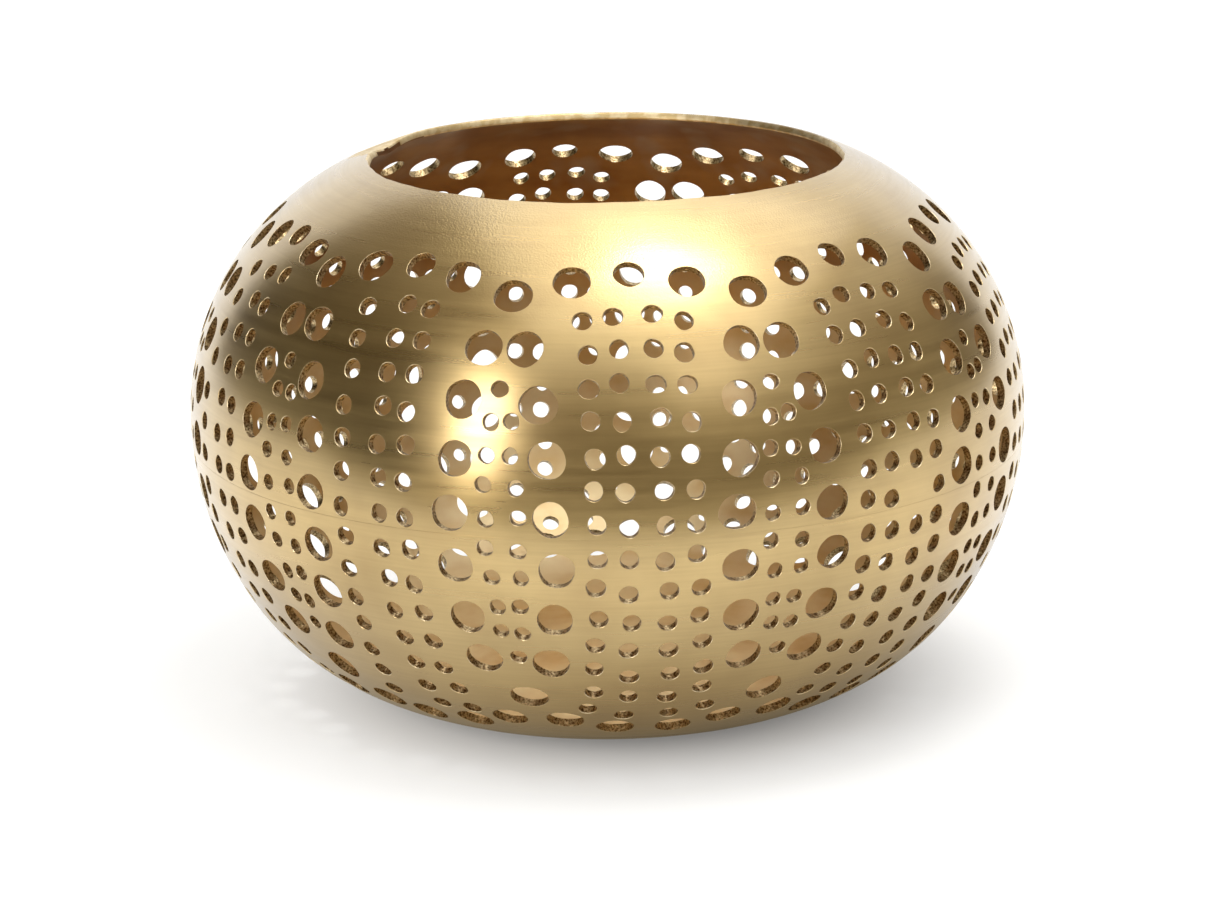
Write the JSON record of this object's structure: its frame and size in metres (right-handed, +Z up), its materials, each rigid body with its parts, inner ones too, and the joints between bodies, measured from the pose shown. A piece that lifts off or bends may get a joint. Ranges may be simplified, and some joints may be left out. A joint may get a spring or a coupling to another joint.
{
  "type": "tealight holder",
  "caption": "Squat ball-shaped pierced sheet-brass tealight holder: two spun half shells joined round the middle, wide open mouth, flat underside, almond motifs of round holes.",
  "frame": {"origin": "centre of the flat underside, on the axis of the ball", "axes": "+Z up through the middle of the mouth; -Y towards the side taken as the front; +X to the right of that side"},
  "size_m": [0.1199, 0.12, 0.0777],
  "materials": {
    "shoulder_brass": "satin, brushed round the axis",
    "bowl_brass": "satin, brushed round the axis"
  },
  "bodies": {
    "root": {"upper_shell": "shoulder_brass", "lower_shell": "bowl_brass"}
  },
  "joints": []
}
